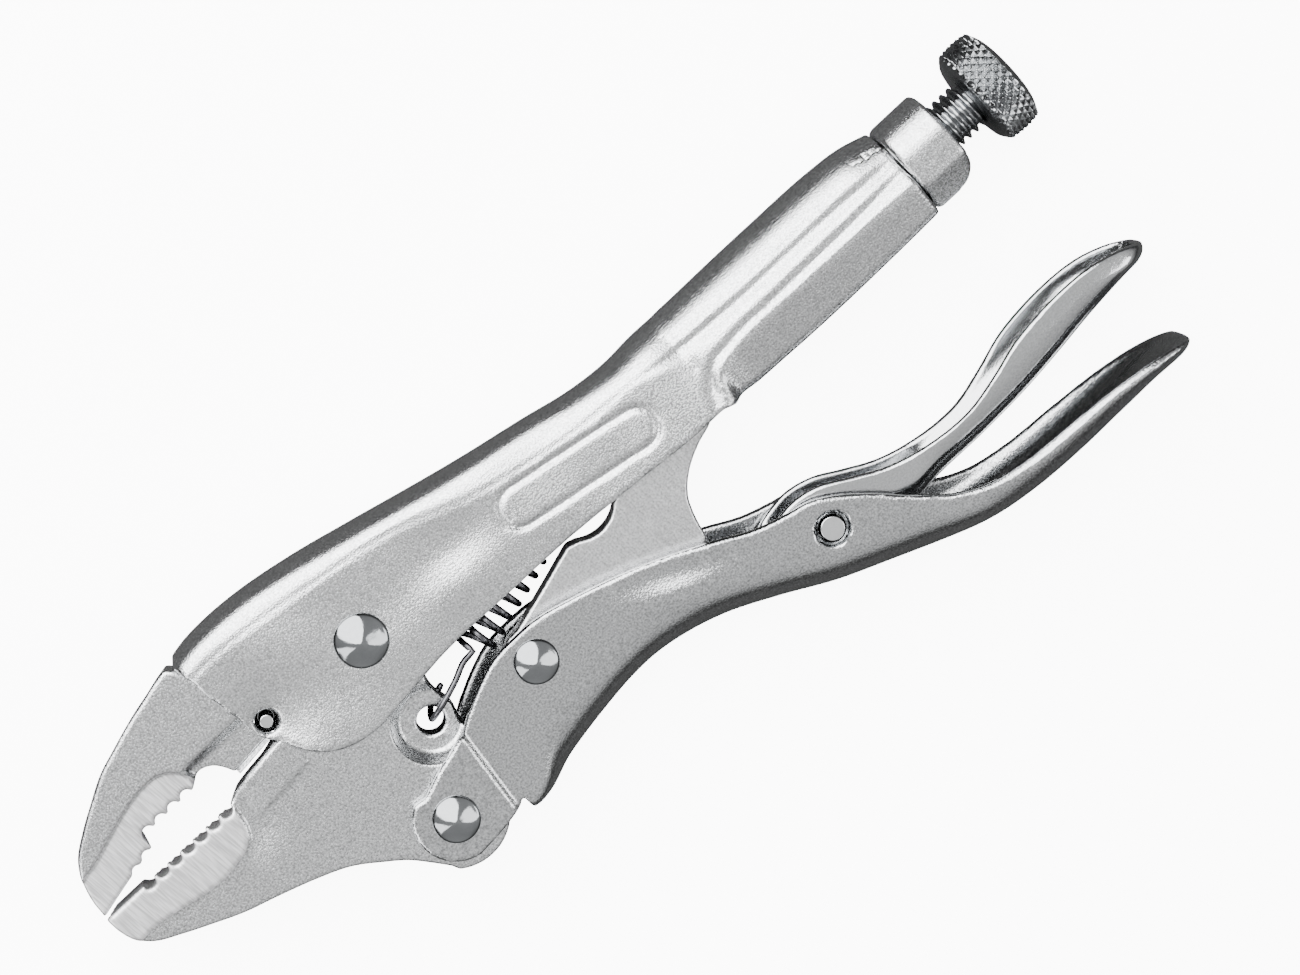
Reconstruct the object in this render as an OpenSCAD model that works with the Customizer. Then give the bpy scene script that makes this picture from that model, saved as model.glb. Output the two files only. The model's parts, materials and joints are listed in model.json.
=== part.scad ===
// Locking pliers, lying on one side: a hand tool whose jaws are held shut by a toggle link.
// Every sub-part is drawn about the jaw pivot: x runs from the jaws to the knob, y towards the
// back of the upper handle, z along the pivots. set_down() then moves it into the part's frame.

/* [Overall] */
// Height of the middle plane above the surface that the tool lies on
mid_height = 9; // [8.9:0.05:9.4]
// From the jaw pivot forward to the tips of the jaws
jaw_reach = 56.6; // [56:0.1:58]
// From the jaw pivot up to the crown of the upper handle
crown_height = 17; // [16.9:0.05:17.2]
// From the jaw pivot down to the back of the lower handle
tail_depth = 54.8; // [54.7:0.05:55.5]

/* [Jaws] */
// Thickness of both jaws
jaw_thick = 9; // [7:0.1:9]
// Radius of the round cuts between the teeth
tooth_radius = 0.95; // [0.7:0.05:1.1]
// Distance between two neighbouring teeth
tooth_pitch = 2.6; // [2.5:0.05:2.8]
// Radius of the lower jaw's hub around the jaw pivot
hub_radius = 9.3; // [8.5:0.1:9.3]
// Thickness of the thin web that the spring hooks into
web_thick = 4; // [3:0.1:5]

/* [Handles] */
// Half of the gap between the upper handle's side walls
channel_half = 4.6; // [4.55:0.05:4.8]
// Wall thickness of the upper handle
upper_wall = 2.2; // [1.8:0.1:2.2]
// Wall thickness of the lower handle
lower_wall = 1.9; // [1.5:0.1:1.9]
// Wall thickness of the release lever
lever_wall = 1.5; // [1.2:0.1:1.8]
// Half width of the upper handle's rounded grip
grip_half = 7.6; // [7.4:0.1:8]
// Half width of the lower handle between its pivots
lower_half = 7.3; // [7.2:0.1:7.6]
// Half width of the lower handle's flared tail
tail_half = 9; // [8.5:0.1:9]

/* [Pivots] */
// Shank radius of the jaw pivot rivet
jaw_rivet_r = 3.2; // [3:0.1:3.4]
// Shank radius of the rivet between the lower jaw and the lower handle
handle_rivet_r = 2.8; // [2.5:0.1:2.9]
// Shank radius of the rivet at the foot of the toggle link
link_rivet_r = 2.6; // [2.3:0.1:2.7]
// Radius of the pin that the release lever turns on
lever_pin_r = 2.2; // [2:0.1:2.4]
// Radius of the pin that locks the fixed jaw in the upper handle
jaw_pin_r = 1.8; // [1.5:0.1:2]
// Radial play of every turning fit
play = 0.05; // [0.02:0.01:0.09]

/* [Adjusting screw] */
// Radius of the screw over its thread
screw_r = 4; // [3.8:0.1:4.1]
// Radius of the knurled knob
knob_r = 8.6; // [8:0.1:8.8]
// Length of the knurled knob, its domed end included
knob_length = 7.7; // [6:0.1:9]
// Thread left showing between the end block and the knob
thread_showing = 5.8; // [4:0.1:8]

/* [Spring] */
// Wire diameter of the extension spring
wire_d = 1; // [0.8:0.1:1.1]
// Radius of the spring's coils, to the middle of the wire
coil_r = 2.5; // [2:0.1:2.6]
// Number of turns in the coil
coil_turns = 9; // [7:1:10]

/* [Hidden] */
$fn = 64;
eps = 0.01;

// Pivot centres
JAW_PIVOT = [0, 0];
HANDLE_PIVOT = [-8.3, -29.8];
LINK_PIVOT = [16.7, -20.3];
LEVER_PIVOT = [62.7, -36.3];
JAW_PIN = [-18.6, 0.6];
LINK_END = [63, -4.35];
SPRING_HOLE = [-1.2, -17];
SPRING_TAB = [38.4, -4.9];

// Outside faces of the walls at the pivots
upper_half = channel_half + upper_wall;
ear_half = channel_half + lower_wall;
screw_y = -4.35;
block_back = 106.8;
block_end = 115.4;
knob_front = block_end + thread_showing;
knob_back = knob_front + knob_length;
mid_x = (knob_back - jaw_reach) / 2;
mid_y = (crown_height - tail_depth) / 2;
through = 40;

module set_down() {
    translate([-mid_x, -mid_y, mid_height]) children();
}

// ---- Lofted shapes ------------------------------------------------------------------

// A smooth curve through rows of numbers, with steps stretches between each pair of rows.
function between(a, b, c, d, t) =
    0.5 * (2 * b + (c - a) * t + (2 * a - 5 * b + 4 * c - d) * t * t
           + (3 * b - a - 3 * c + d) * t * t * t);
function smoothed(rows, steps) =
    let (last = len(rows) - 1)
    concat(
        [for (i = [0:last - 1], k = [0:steps - 1])
            between(rows[max(i - 1, 0)], rows[i], rows[i + 1], rows[min(i + 2, last)], k / steps)],
        [rows[last]]
    );

// Joins closed rings of the same even number of points into one solid. Each end is closed by
// strips between the ring's first half and its second half.
module lofted(rings) {
    n = len(rings[0]);
    last = len(rings) - 1;
    sides = [for (i = [0:last - 1], k = [0:n - 1], half = [0, 1])
        let (a = i * n + k, b = i * n + (k + 1) % n)
        half == 0 ? [a, b + n, b] : [a, a + n, b + n]];
    cap = [for (k = [0:n / 2 - 2], half = [0, 1])
        half == 0 ? [k, k + 1, n - 2 - k] : [k, n - 2 - k, n - 1 - k]];
    far_cap = [for (f = cap) [f[0], f[2], f[1]] + last * n * [1, 1, 1]];
    polyhedron([for (ring = rings) each ring], concat(sides, cap, far_cap), convexity = 8);
}

function reversed(list) = [for (i = [len(list) - 1:-1:0]) list[i]];

// One side of a folded sheet in its cross-section, as [width, depth] from the middle of the
// back: round the back's corner, down the side, and round the lip that curls in at the edge.
arc_steps = 4;
function half_fold(half, depth, corner, lip, curl) =
    let (lip_depth = depth - lip * sin(curl))
    concat(
        [for (k = [0:arc_steps]) let (a = 90 - 90 * k / arc_steps)
            [half - corner + corner * cos(a), corner - corner * sin(a)]],
        [for (k = [0:arc_steps]) let (a = curl * k / arc_steps)
            [half - lip + lip * cos(a), lip_depth + lip * sin(a)]]
    );

// A whole cross-section: out over one side, back under the other, then back along the inside.
function fold_ring(half, depth, corner, lip, curl, wall) =
    let (
        outer = half_fold(half, depth, corner, lip, curl),
        inner_depth = depth - wall - wall * sin(curl),
        inner = [for (p = half_fold(half - wall, inner_depth, corner - wall, lip - wall, curl))
            [p[0], p[1] + wall]]
    )
    concat(
        reversed([for (p = outer) [-p[0], p[1]]]), outer,
        reversed(inner), [for (p = inner) [-p[0], p[1]]]
    );

// A folded sheet along rows of [back x, back y, edge x, edge y, half width, corner, lip, curl].
module folded_sheet(rows, wall) {
    opens_up = rows[0][3] > rows[0][1];
    lofted([for (r = rows)
        let (
            back = [r[0], r[1]],
            span = [r[2], r[3]] - back,
            depth = norm(span),
            down = span / depth,
            ring = fold_ring(r[4], depth, r[5], r[6], r[7], wall)
        )
        [for (p = opens_up ? reversed(ring) : ring)
            [back[0] + down[0] * p[1], back[1] + down[1] * p[1], p[0]]]
    ]);
}

// A round wire along a path. Each ring is turned as little as possible from the one before.
function unit(v) = v / norm(v);
function headings(path) =
    [for (i = [0:len(path) - 1]) unit(path[min(i + 1, len(path) - 1)] - path[max(i - 1, 0)])];
function normals(heads, i, last) =
    i >= len(heads) ? []
    : let (n = unit(last - (last * heads[i]) * heads[i])) concat([n], normals(heads, i + 1, n));
module wire(path, r, sides = 6) {
    heads = headings(path);
    sideways = normals(heads, 0, [0.2, 1, 0.3]);
    lofted([for (i = [0:len(path) - 1])
        let (n = sideways[i], b = cross(heads[i], n))
        [for (k = [0:sides - 1]) let (a = 360 * k / sides) path[i] + r * (cos(a) * n + sin(a) * b)]
    ]);
}

// ---- Plates and pins ----------------------------------------------------------------

function arc(centre, r, from, to, steps = 12) =
    [for (k = [0:steps]) let (a = from + (to - from) * k / steps)
        centre + r * [cos(a), sin(a)]];

module plate(outline, thick) {
    linear_extrude(height = thick, center = true) polygon(outline);
}

module bore(at, r) {
    translate([at[0], at[1], 0]) cylinder(h = through, r = r, center = true);
}

module rounded_bar(width, height, corner, length) {
    rotate([90, 0, 90]) linear_extrude(height = length) polygon(concat(
        arc([width / 2 - corner, height / 2 - corner], corner, 0, 90),
        arc([corner - width / 2, height / 2 - corner], corner, 90, 180),
        arc([corner - width / 2, corner - height / 2], corner, 180, 270),
        arc([width / 2 - corner, corner - height / 2], corner, 270, 360)
    ));
}

// A rivet: a shank, a domed head above the wall at top, and a flat head below the wall.
module rivet(at, shank, head, wall_face, dome, flat) {
    cap_r = (head * head + dome * dome) / (2 * dome);
    edge = 0.5;
    translate([at[0], at[1], 0]) {
        cylinder(h = 2 * wall_face, r = shank, center = true);
        translate([0, 0, wall_face]) intersection() {
            cylinder(h = dome, r = head);
            translate([0, 0, dome - cap_r]) sphere(r = cap_r);
        }
        translate([0, 0, -wall_face - flat]) rotate_extrude() polygon([
            [0, 0], [head - edge, 0], [head, edge], [head, flat], [0, flat]
        ]);
    }
}

// ---- Upper handle and what is fixed in it --------------------------------------------

front_lip = 4.4;
flat_curl = 10;
// [crown x, crown y, edge x, edge y, half width, crown corner, lip radius, lip curl]
UPPER_ROWS = [
    [-22.7, 15.9, -19.2, -3.2, upper_half, 3.0, front_lip, flat_curl],
    [-19.0, 16.8, -17.2, -7.2, upper_half, 3.0, front_lip, flat_curl],
    [-14.0, crown_height, -13.0, -10.3, upper_half, 3.0, front_lip, flat_curl],
    [-7.0, 16.4, -7.0, -11.4, upper_half, 3.1, front_lip, flat_curl],
    [1.0, 15.0, 1.0, -10.8, upper_half, 3.2, front_lip, flat_curl],
    [10.0, 12.9, 10.0, -10.1, upper_half, 3.4, front_lip, flat_curl],
    [20.0, 10.4, 20.0, -10.0, upper_half, 3.6, front_lip, flat_curl],
    [32.0, 7.9, 32.0, -10.1, 6.9, 4.0, front_lip, flat_curl],
    [44.0, 5.6, 44.0, -10.9, 7.1, 4.6, front_lip, flat_curl],
    [54.0, 4.3, 54.0, -11.5, 7.3, 5.2, 4.6, flat_curl],
    [61.0, 4.8, 61.0, -11.7, 7.5, 5.8, 4.8, flat_curl],
    [66.0, 5.0, 66.0, -12.4, grip_half, 6.0, 5.2, 40],
    [71.0, 5.1, 71.0, -12.9, grip_half, 6.0, 5.6, 80],
    [82.0, 5.1, 82.0, -13.1, grip_half, 6.0, 5.8, 90],
    [94.0, 4.9, 94.0, -13.0, grip_half, 6.0, 5.8, 90],
    [102.0, 4.6, 102.0, -12.8, grip_half, 5.8, 5.8, 90],
    [block_back, 3.1, block_back, -12.6, 7.2, 5.2, 5.2, 90]
];

module upper_handle() {
    color("silver") set_down() {
        difference() {
            folded_sheet(smoothed(UPPER_ROWS, 2), upper_wall);
            bore(JAW_PIVOT, jaw_rivet_r);
            bore(JAW_PIN, jaw_pin_r);
        }
        spring_tab();
    }
}

// A tongue struck down from the crown, with the hole that the spring's rear hook goes through
module spring_tab() {
    tab_thick = 1.6;
    tab_width = 5;
    tab_foot = SPRING_TAB[1] - 2.3;
    tab_top = 5;
    difference() {
        translate([SPRING_TAB[0] - tab_width / 2, tab_foot, -tab_thick / 2])
            cube([tab_width, tab_top - tab_foot, tab_thick]);
        bore(SPRING_TAB, wire_d);
    }
}

module screw_end_block() {
    block_wide = 14;
    block_high = 15.2;
    block_y = -4.85;
    plug_length = 8;
    plug_wide = 2 * (7.2 - upper_wall) - 0.3;
    plug_high = 11;
    color("gainsboro") set_down() difference() {
        union() {
            translate([block_back, block_y, 0])
                rounded_bar(block_high, block_wide, 4, block_end - block_back);
            translate([block_back - plug_length, block_y, 0])
                rounded_bar(plug_high, plug_wide, 3, plug_length + eps);
        }
        translate([block_back - plug_length - 1, screw_y, 0]) rotate([0, 90, 0])
            cylinder(h = through, r = screw_r + play);
    }
}

// Round cuts between the teeth, a row of them along a straight line
module tooth_cuts(first, step, count) {
    for (i = [0:count - 1]) bore(first + i * step, tooth_radius);
}

FIXED_JAW = concat(
    [
        [-jaw_reach, -4.5], [-56.4, -2.2], [-55.8, 0.2], [-54.6, 2.8], [-52.6, 5.1],
        [-49, 7.6], [-45, 10], [-41, 12], [-37, 13.4], [-32, 14.9], [-27, 16.1],
        [-25.2, 16.6], [-23.6, 16.1], [-23, 13.2], [-12, 13.9], [-4, 13]
    ],
    arc(JAW_PIVOT, hub_radius + 0.3, 108, 191),
    [
        [-20.5, -1.9], [-27.7, -2.5], [-28.3, -1.2], [-29.2, 0.2], [-31.7, 1.3],
        [-33.6, 0.2], [-43.7, 0.2], [-44, -2], [-50, -3.4], [-54.5, -4.4], [-56.4, -4.95]
    ]
);

module fixed_jaw() {
    color("lightgray") set_down() difference() {
        plate(FIXED_JAW, jaw_thick);
        bore(JAW_PIN, jaw_pin_r);
        tooth_cuts([-48.1, -3.3], [tooth_pitch, 0.5], 2);
        tooth_cuts([-42.9, 0], [tooth_pitch, 0.05], 4);
    }
}

module fixed_jaw_pin() {
    color("white") set_down()
        translate([JAW_PIN[0], JAW_PIN[1], 0])
        cylinder(h = 2 * upper_half, r = jaw_pin_r, center = true);
}

module jaw_pivot_rivet() {
    color("whitesmoke") set_down()
        rivet(JAW_PIVOT, jaw_rivet_r, 4.2, upper_half, 1.5, mid_height - upper_half);
}

// ---- Lower jaw -----------------------------------------------------------------------

LOWER_JAW = concat(
    [
        [-jaw_reach, -5.1], [-56.4, -8], [-55.8, -10], [-54.2, -12.3], [-50, -14.7],
        [-46, -16.6], [-41, -18.8], [-36, -20.4], [-30, -22.4], [-25, -24.6], [-21, -27.5],
        [-18, -30], [-15.8, -32.6], [-13.8, -35.4]
    ],
    arc(HANDLE_PIVOT, 8.5, 235, 325),
    [[0.4, -30], [1.6, -24], [2.2, -19.8], [2.9, -17.5], [2.5, -13.2], [3.1, -10.6], [5.4, -7.4]],
    arc(JAW_PIVOT, hub_radius, -50, 196, 24),
    [[-20, -2.8], [-27.5, -3.7], [-30, -4.2], [-31.3, -5.1]]
);

module lower_jaw() {
    recess = 6.2;
    color("silver") set_down() difference() {
        plate(LOWER_JAW, jaw_thick);
        bore(JAW_PIVOT, jaw_rivet_r + play);
        bore(HANDLE_PIVOT, handle_rivet_r + play);
        bore(SPRING_HOLE, 2.1);
        for (side = [-1, 1])
            translate([SPRING_HOLE[0], SPRING_HOLE[1], side * (web_thick + jaw_thick) / 2])
                cylinder(h = jaw_thick, r = recess, center = true);
        tooth_cuts([-48, -5.3], [tooth_pitch, 0], 7);
    }
}

// ---- Lower handle and its pins -------------------------------------------------------

// [back x, back y, edge x, edge y, half width, back corner, lip radius, lip curl]
LOWER_ROWS = [
    [2.0, -36.6, 2.0, -20.2, lower_half, 5.4, 4, 8],
    [10.0, -35.9, 10.0, -16.4, lower_half, 5.4, 4, 8],
    [17.5, -34.5, 17.0, -15.4, lower_half, 5.4, 4, 8],
    [25.0, -33.4, 24.0, -15.9, lower_half, 5.4, 4, 8],
    [32.0, -33.5, 31.5, -18.2, lower_half, 5.4, 4, 8],
    [39.0, -35.0, 40.0, -21.5, lower_half, 5.4, 4, 8],
    [46.0, -37.6, 48.5, -25.5, lower_half, 5.4, 4, 8],
    [53.0, -41.5, 56.5, -29.3, lower_half, 5.4, 4, 8],
    [60.0, -45.1, 64.0, -31.6, 7.4, 5.4, 4, 8],
    [66.5, -47.7, 70.0, -36.0, 7.6, 5.4, 4, 8],
    [73.0, -50.3, 76.0, -41.7, 8.0, 5.4, 4, 8],
    [80.0, -52.5, 82.5, -46.7, 8.5, 4.4, 4, 8],
    [88.0, -54.1, 89.0, -49.4, tail_half, 3.0, 4, 8],
    [98.0, -54.6, 98.0, -50.5, tail_half, 2.8, 4, 8],
    [108.0, -54.4, 108.0, -51.0, tail_half, 2.6, 4, 8],
    [116.0, -54.0, 116.0, -51.6, tail_half, 2.2, 4, 8],
    [123.0, -tail_depth, 123.3, -52.6, 8.6, 2.0, 4, 8]
];

// One of the two ears that hold the lower jaw
EAR = concat(
    arc(HANDLE_PIVOT, 6.6, 105, 270, 16),
    [[-3, -35.8], [5, -34.8], [12, -30], [12, -20], [5, -19], [1.2, -20.8], [-5, -22.8]]
);

module lower_handle() {
    color("silver") set_down() difference() {
        union() {
            folded_sheet(smoothed(LOWER_ROWS, 2), lower_wall);
            for (side = [-1, 1])
                translate([0, 0, side * (channel_half + ear_half) / 2])
                    plate(EAR, lower_wall);
        }
        bore(HANDLE_PIVOT, handle_rivet_r);
        bore(LINK_PIVOT, link_rivet_r);
        bore(LEVER_PIVOT, lever_pin_r);
    }
}

module handle_pivot_rivet() {
    color("whitesmoke") set_down()
        rivet(HANDLE_PIVOT, handle_rivet_r, 3.7, ear_half, 1.4, mid_height - ear_half);
}

module link_rivet() {
    color("whitesmoke") set_down()
        rivet(LINK_PIVOT, link_rivet_r, 3.5, lower_half, 1.2, 1.2);
}

module release_lever_pin() {
    pin_length = 15;
    color("white") set_down()
        translate([LEVER_PIVOT[0], LEVER_PIVOT[1], 0])
        cylinder(h = pin_length, r = lever_pin_r, center = true);
}

// ---- Toggle link ---------------------------------------------------------------------

LINK = concat(
    arc(LINK_PIVOT, 4.9, 100, 270),
    [[24, -26.6], [34, -28], [44, -28.3], [47.2, -27]],
    [[48.2, -24.5], [48.8, -21.8], [50.3, -18.2], [52.8, -15.7], [56.6, -13.6], [60.4, -12.2], [62.6, -9.4]],
    arc(LINK_END, 3, -50, 110),
    [[56, -2.6], [48, -5.4], [43, -8.8], [41.7, -10.8]],
    arc([37, -7.6], 5.3, -36, -128, 8),
    [[31.4, -11.2], [24, -13.5], [17.5, -15.4]]
);

module toggle_link() {
    link_thick = 8.4;
    color("lightgray") set_down() difference() {
        plate(LINK, link_thick);
        bore(LINK_PIVOT, link_rivet_r + play);
    }
}

// ---- Release lever -------------------------------------------------------------------

// [back x, back y, edge x, edge y, half width, back corner, lip radius, lip curl]
LEVER_ROWS = [
    [53.0, -33.0, 53.0, -28.6, 4.8, 2.4, 3.5, 6],
    [58.0, -38.5, 59.5, -29.0, 4.8, 2.4, 3.5, 6],
    [65.0, -42.2, 67.0, -31.4, 4.8, 2.4, 3.5, 6],
    [73.0, -43.3, 74.0, -35.2, 4.9, 2.4, 3.5, 6],
    [82.0, -43.3, 82.0, -37.5, 5.2, 2.4, 3.5, 6],
    [90.0, -43.0, 90.0, -38.0, 5.6, 2.4, 3.5, 6],
    [98.0, -42.5, 98.0, -36.0, 6.0, 2.4, 3.5, 6],
    [106.0, -41.6, 106.0, -34.1, 6.2, 2.4, 3.5, 6],
    [114.0, -40.5, 114.0, -33.9, 6.2, 2.4, 3.5, 6],
    [121.0, -39.6, 121.0, -35.1, 5.8, 2.2, 3.5, 6],
    [127.0, -39.1, 127.0, -37.0, 4.6, 1.8, 3.5, 6]
];

module release_lever() {
    color("gainsboro") set_down() difference() {
        folded_sheet(smoothed(LEVER_ROWS, 2), lever_wall);
        bore(LEVER_PIVOT, lever_pin_r + play);
    }
}

// ---- Adjusting screw and knob --------------------------------------------------------

module adjusting_screw() {
    tip_x = LINK_END[0] + 5.7;
    chamfer = 1;
    stem_end = knob_front + 5;
    color("silver") set_down()
        translate([tip_x, screw_y, 0]) rotate([0, 90, 0])
        rotate_extrude() polygon([
            [0, 0], [screw_r - chamfer, 0], [screw_r, chamfer],
            [screw_r, stem_end - tip_x], [0, stem_end - tip_x]
        ]);
}

module knurled_knob() {
    hub_r = 6.6;
    hub_long = 0.9;
    bevel = 0.7;
    dome = 1.2;
    bore_depth = 5.1;
    rim_back = knob_length - dome;
    color("lightgray") set_down()
        translate([knob_front, screw_y, 0]) rotate([0, 90, 0])
        rotate_extrude() polygon(concat(
            [
                [screw_r + play, 0], [hub_r, 0], [hub_r, hub_long - bevel / 2],
                [knob_r - bevel, hub_long], [knob_r, hub_long + bevel], [knob_r, rim_back - bevel]
            ],
            [for (k = [0:8]) let (a = 90 * k / 8)
                [(knob_r - bevel) * cos(a), rim_back + dome * sin(a)]],
            [[0, bore_depth], [screw_r + play, bore_depth]]
        ));
}

// ---- Spring --------------------------------------------------------------------------

// The spring lies in the frame of its own axis: s along it from the hole in the lower jaw to
// the tongue in the upper handle, and t across it.
SPRING_ALONG = unit(SPRING_TAB - SPRING_HOLE);
SPRING_ACROSS = [-SPRING_ALONG[1], SPRING_ALONG[0]];
spring_length = norm(SPRING_TAB - SPRING_HOLE);
function spring_point(s, t, z) =
    let (p = SPRING_HOLE + s * SPRING_ALONG + t * SPRING_ACROSS) [p[0], p[1], z];

coil_start = 12.4;
coil_end = 34.6;
turn_steps = 10;
hook_side = web_thick / 2 + wire_d;
FRONT_HOOK = [
    spring_point(4.6, 0.6, -hook_side), spring_point(1.2, 0.3, -hook_side),
    spring_point(0.5, 0, -hook_side + 0.6), spring_point(0.3, 0, 0),
    spring_point(0.5, 0, hook_side - 0.6), spring_point(1.2, 0, hook_side),
    spring_point(7, 0, hook_side), spring_point(10.6, 0.3, hook_side - 0.3)
];
COIL = [for (i = [0:coil_turns * turn_steps])
    let (a = 90 - 360 * i / turn_steps, f = i / (coil_turns * turn_steps))
    spring_point(coil_start + f * (coil_end - coil_start), coil_r * cos(a), coil_r * sin(a))];
REAR_HOOK = [
    spring_point(coil_end + 2.2, 0.3, 2.2), spring_point(spring_length - 1.2, 0, 1.9),
    spring_point(spring_length - 0.1, 0, 1.3), spring_point(spring_length, 0, 0),
    spring_point(spring_length - 0.1, 0, -1.3), spring_point(spring_length - 1.2, 0, -1.9),
    spring_point(spring_length - 3, 0, -2)
];

module tension_spring() {
    color("dimgray") set_down() wire(concat(FRONT_HOOK, COIL, REAR_HOOK), wire_d / 2);
}

upper_handle();
screw_end_block();
fixed_jaw();
fixed_jaw_pin();
jaw_pivot_rivet();
lower_jaw();
lower_handle();
handle_pivot_rivet();
link_rivet();
release_lever_pin();
toggle_link();
release_lever();
adjusting_screw();
knurled_knob();
tension_spring();
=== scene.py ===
"""Locking pliers lying on one side: nickel-plated stampings and forgings round the CAD frame.

Shapes are given in millimetres in the tool's own frame: the jaw pivot is the origin, x runs
towards the knob, y towards the back of the upper handle, and z along the pivots from the
middle plane. to_row() takes them into the row frame, from the jaw pivot's place in the frame.
"""
import json
import math

import bmesh
import bpy
import numpy as np
from mathutils import Matrix, Vector

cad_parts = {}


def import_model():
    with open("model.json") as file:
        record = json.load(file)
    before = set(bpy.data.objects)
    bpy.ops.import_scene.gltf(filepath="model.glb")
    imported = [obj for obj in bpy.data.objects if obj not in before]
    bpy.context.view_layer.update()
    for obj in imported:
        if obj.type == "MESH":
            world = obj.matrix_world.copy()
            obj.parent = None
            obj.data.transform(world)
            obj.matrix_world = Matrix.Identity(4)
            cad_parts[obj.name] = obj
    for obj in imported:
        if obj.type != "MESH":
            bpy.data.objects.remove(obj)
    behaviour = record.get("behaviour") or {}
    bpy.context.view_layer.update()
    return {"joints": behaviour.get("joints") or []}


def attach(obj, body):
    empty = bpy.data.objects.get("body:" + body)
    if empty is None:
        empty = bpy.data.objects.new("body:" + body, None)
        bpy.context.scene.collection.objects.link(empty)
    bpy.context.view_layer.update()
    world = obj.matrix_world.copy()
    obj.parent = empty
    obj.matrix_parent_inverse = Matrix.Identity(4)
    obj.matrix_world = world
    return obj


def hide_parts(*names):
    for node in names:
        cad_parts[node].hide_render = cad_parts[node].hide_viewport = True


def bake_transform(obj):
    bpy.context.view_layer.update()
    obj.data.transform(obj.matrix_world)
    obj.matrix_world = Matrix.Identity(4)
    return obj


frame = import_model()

MM = 0.001
SHARP_ANGLE = math.radians(38)
PIVOT = {j["name"]: np.array(j["pos_m"]) for j in frame["joints"] if "pos_m" in j}
ORIGIN = PIVOT["jaw_swing"]


def place(joint):
    """A hinge's centre in the tool's frame, as (x, y)."""
    return tuple((PIVOT[joint] - ORIGIN)[:2] / MM)


def to_row(points):
    """Points in the tool's frame taken to the row frame, in metres."""
    return np.asarray(points, dtype=float) * MM + ORIGIN


JAW_PIVOT = (0.0, 0.0)
HANDLE_PIVOT = place("handle_swing")
LINK_PIVOT = place("link_swing")
LEVER_PIVOT = place("release_press")
SCREW_Y = float((PIVOT["screw_turn"] - ORIGIN)[1] / MM)
JAW_PIN = (-18.6, 0.6)
SPRING_HOLE = (-1.2, -17.0)
SPRING_TAB = (38.4, -4.9)

# The radii of the rivets' shanks and of the pins, and the play round them
JAW_SHANK = 3.2
HANDLE_SHANK = 2.8
LINK_SHANK = 2.6
LEVER_SHANK = 2.2
JAW_PIN_R = 1.8
PLAY = 0.05

# How far the tool's middle plane is above the floor, where the far rivet heads rest
FLOOR_DROP = float(ORIGIN[2] / MM)


# ---- Curves and outlines ------------------------------------------------------------------------

def through(knots, values, at):
    """The smooth line that passes through each value at its knot, read at other places."""
    slopes = np.gradient(values, knots, axis=0)
    at = np.clip(at, knots[0], knots[-1])
    i = np.clip(np.searchsorted(knots, at, side="right") - 1, 0, len(knots) - 2)
    span = knots[i + 1] - knots[i]
    t = (at - knots[i]) / span
    if values.ndim > 1:
        t, span = t[:, None], span[:, None]
    return ((2 * t ** 3 - 3 * t ** 2 + 1) * values[i] + (3 * t ** 2 - 2 * t ** 3) * values[i + 1]
            + span * ((t ** 3 - 2 * t ** 2 + t) * slopes[i] + (t ** 3 - t ** 2) * slopes[i + 1]))


def curve(points, steps=8):
    """Points along a smooth line through a few given ones."""
    p = np.array(points, dtype=float)
    along = np.concatenate([[0], np.cumsum(np.linalg.norm(np.diff(p, axis=0), axis=1))])
    at = np.interp(np.arange((len(p) - 1) * steps + 1) / steps, np.arange(len(p)), along)
    return through(along, p, at)


def arc(centre, radius, start, end, steps=24):
    """Points along a round stretch, between two angles in degrees."""
    a = np.radians(np.linspace(start, end, steps + 1))
    return np.column_stack([centre[0] + radius * np.cos(a), centre[1] + radius * np.sin(a)])


def outline(*runs):
    """One closed outline from smooth runs, with a corner where two runs meet."""
    return np.vstack([np.array(run, dtype=float) for run in runs])


def height(points):
    """A function of x that follows a smooth line through the points."""
    x, y = np.array(points, dtype=float).T
    return lambda at: through(x, y, np.asarray(at, dtype=float))


def ramp(x, low, high):
    """0 below low, 1 above high, and smooth between them."""
    t = np.clip((x - low) / (high - low), 0, 1)
    return t * t * (3 - 2 * t)


# ---- Distance fields: negative inside, in millimetres -------------------------------------------

def inside_outline(points, x, y):
    """Signed distance to a closed outline."""
    shape = np.broadcast(x, y).shape
    px, py = np.broadcast_to(x, shape).ravel(), np.broadcast_to(y, shape).ravel()
    nearest = np.full(px.shape, np.inf)
    within = np.zeros(px.shape, dtype=bool)
    for (ax, ay), (bx, by) in zip(points, np.roll(points, -1, axis=0)):
        ex, ey = bx - ax, by - ay
        span = ex * ex + ey * ey
        if span < 1e-12:
            continue
        t = np.clip(((px - ax) * ex + (py - ay) * ey) / span, 0, 1)
        nearest = np.minimum(nearest, (px - ax - t * ex) ** 2 + (py - ay - t * ey) ** 2)
        crosses = (ay > py) != (by > py)
        if ey:
            within ^= crosses & (px < ax + ex * (py - ay) / ey)
    return (np.sqrt(nearest) * np.where(within, -1, 1)).reshape(shape)


def both(a, b, radius):
    """Where a and b overlap, with a rounded edge."""
    u, v = np.maximum(a + radius, 0), np.maximum(b + radius, 0)
    return np.minimum(-radius, np.maximum(a, b)) + np.hypot(u, v)


def eased(a, b, width):
    """Where a and b overlap when they meet at a shallow angle, with the bend spread out."""
    near = np.maximum(width - np.abs(a - b), 0)
    return np.maximum(a, b) + near ** 2 / (4 * width)


def without(a, b, radius):
    """What is left of a when b is cut out of it."""
    return both(a, -b, radius)


def disc(x, y, centre, radius):
    """A round hole or a round bar along z."""
    return np.hypot(x - centre[0], y - centre[1]) - radius


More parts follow.
